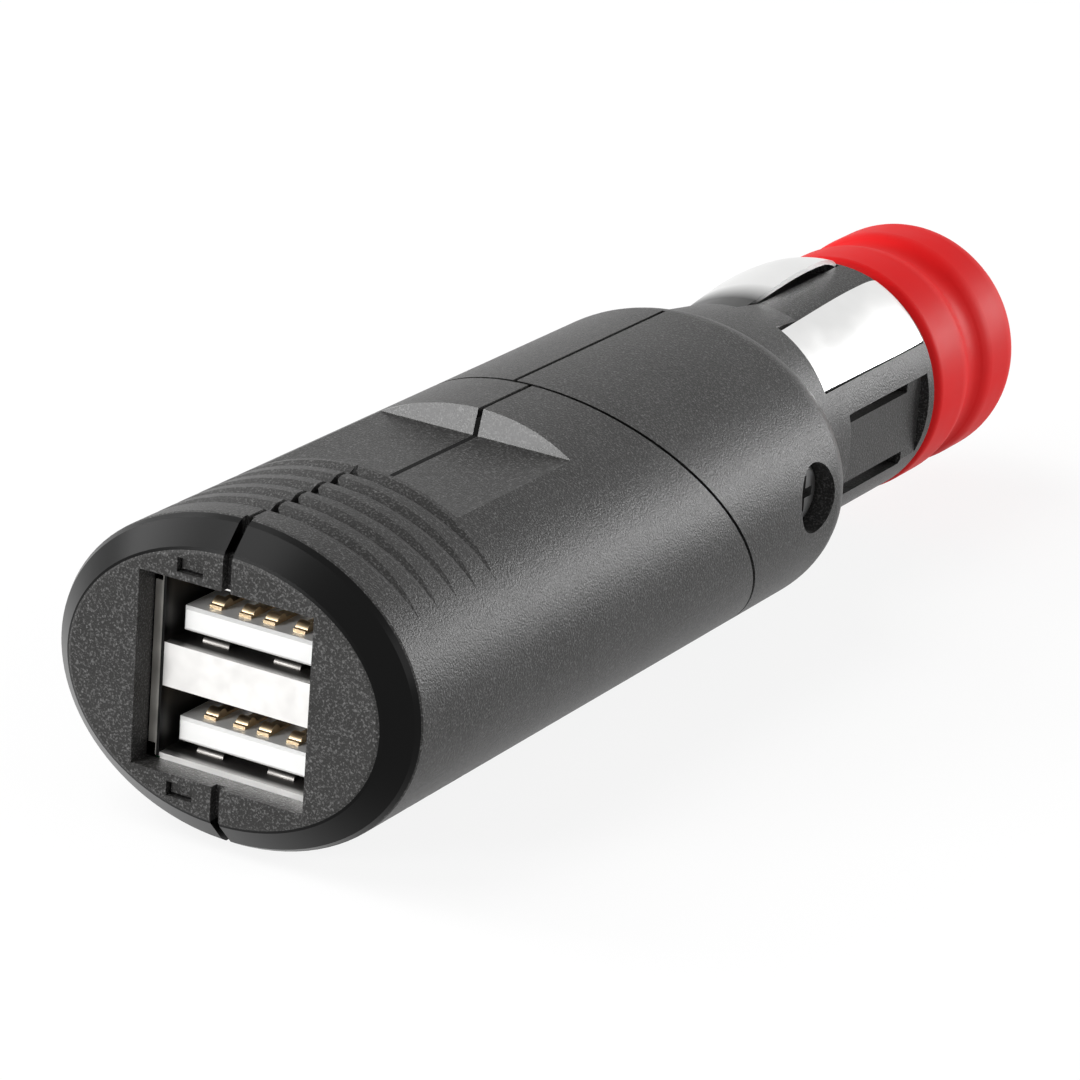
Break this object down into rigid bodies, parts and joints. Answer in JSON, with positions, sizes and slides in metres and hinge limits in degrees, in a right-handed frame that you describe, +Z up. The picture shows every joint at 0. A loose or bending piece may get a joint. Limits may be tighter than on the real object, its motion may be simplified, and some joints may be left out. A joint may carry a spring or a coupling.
{
  "type": "car usb charging plug",
  "caption": "Oval car charging plug with stacked USB-A ports in a head that swivels on a slanted joint, sprung side contacts and a red adapter collar on the nose.",
  "frame": {"origin": "on the plug axis, in the middle of the collar's front land", "axes": "+X to the right seen from the USB face, +Y along the plug axis towards the contact pin, +Z up across the oval's short way"},
  "size_m": [0.0304, 0.1144, 0.0244],
  "materials": {
    "body_plastic": "charcoal moulded plastic with a fine spark-eroded grain",
    "usb_metal": "bright nickel-plated sheet",
    "tongue_plastic": "white moulded insulator",
    "gold_contact": "gold-plated contact springs",
    "board": "green circuit board",
    "ferrite": "dark ferrite",
    "copper": "enamelled copper winding",
    "capacitor_can": "bare aluminium can",
    "black_package": "black moulded package",
    "cable_jacket": "black flexible jacket",
    "sleeve_plastic": "dark low-friction moulding",
    "screw_steel": "darkened steel",
    "contact_nickel": "satin nickel-plated spring sheet",
    "inner_metal": "plain brass",
    "pin_metal": "bright nickel-plated pin",
    "spring_steel": "spring wire",
    "collar_red": "satin red moulding"
  },
  "bodies": {
    "plug": {"plug_shell_left": "body_plastic", "plug_shell_right": "body_plastic", "swivel_sleeve": "sleeve_plastic", "housing_screw": "screw_steel", "plug_cable": "cable_jacket", "contact_bridge": "inner_metal", "pin_terminal": "inner_metal", "pin_spring": "spring_steel"},
    "head": {"head_shell_left": "body_plastic", "head_shell_right": "body_plastic", "usb_shell": "usb_metal", "usb_insulator_upper": "tongue_plastic", "usb_insulator_lower": "tongue_plastic", "usb_contacts_upper": "gold_contact", "usb_contacts_lower": "gold_contact", "circuit_board": "board", "choke_core": "ferrite", "choke_winding": "copper", "input_capacitor": "capacitor_can", "output_capacitor": "capacitor_can", "converter_chip": "black_package", "rectifier_diode": "black_package", "chip_resistors": "black_package", "head_cable": "cable_jacket"},
    "centre_pin": {"centre_pin": "pin_metal"},
    "collar": {"adapter_collar": "collar_red"},
    "contact_upper_left": {"side_contact_upper_left": "contact_nickel"},
    "contact_upper_right": {"side_contact_upper_right": "contact_nickel"},
    "contact_lower": {"side_contact_lower": "contact_nickel"}
  },
  "joints": [
    {"name": "head_swivel", "type": "hinge", "parent": "plug", "child": "head", "pos_m": [0, -0.04575, 0], "axis": [0, 0.8086, 0.5884], "range_deg": [0, 180]},
    {"name": "pin_press", "type": "slide", "parent": "plug", "child": "centre_pin", "axis": [0, -1, 0], "range_m": [0, 0.003], "stiffness_N_per_m": 900, "deforming": ["pin_spring"]},
    {"name": "collar_pull", "type": "slide", "parent": "plug", "child": "collar", "axis": [0, 1, 0], "range_m": [0, 0.026]},
    {"name": "contact_upper_left_press", "type": "slide", "parent": "plug", "child": "contact_upper_left", "axis": [0.3007, 0, -0.9537], "range_m": [0, 0.0004], "stiffness_N_per_m": 1500},
    {"name": "contact_upper_right_press", "type": "slide", "parent": "plug", "child": "contact_upper_right", "axis": [-0.6494, 0, -0.7604], "range_m": [0, 0.0004], "stiffness_N_per_m": 1500},
    {"name": "contact_lower_press", "type": "slide", "parent": "plug", "child": "contact_lower", "axis": [0.1994, 0, 0.9799], "range_m": [0, 0.0004], "stiffness_N_per_m": 1500}
  ]
}
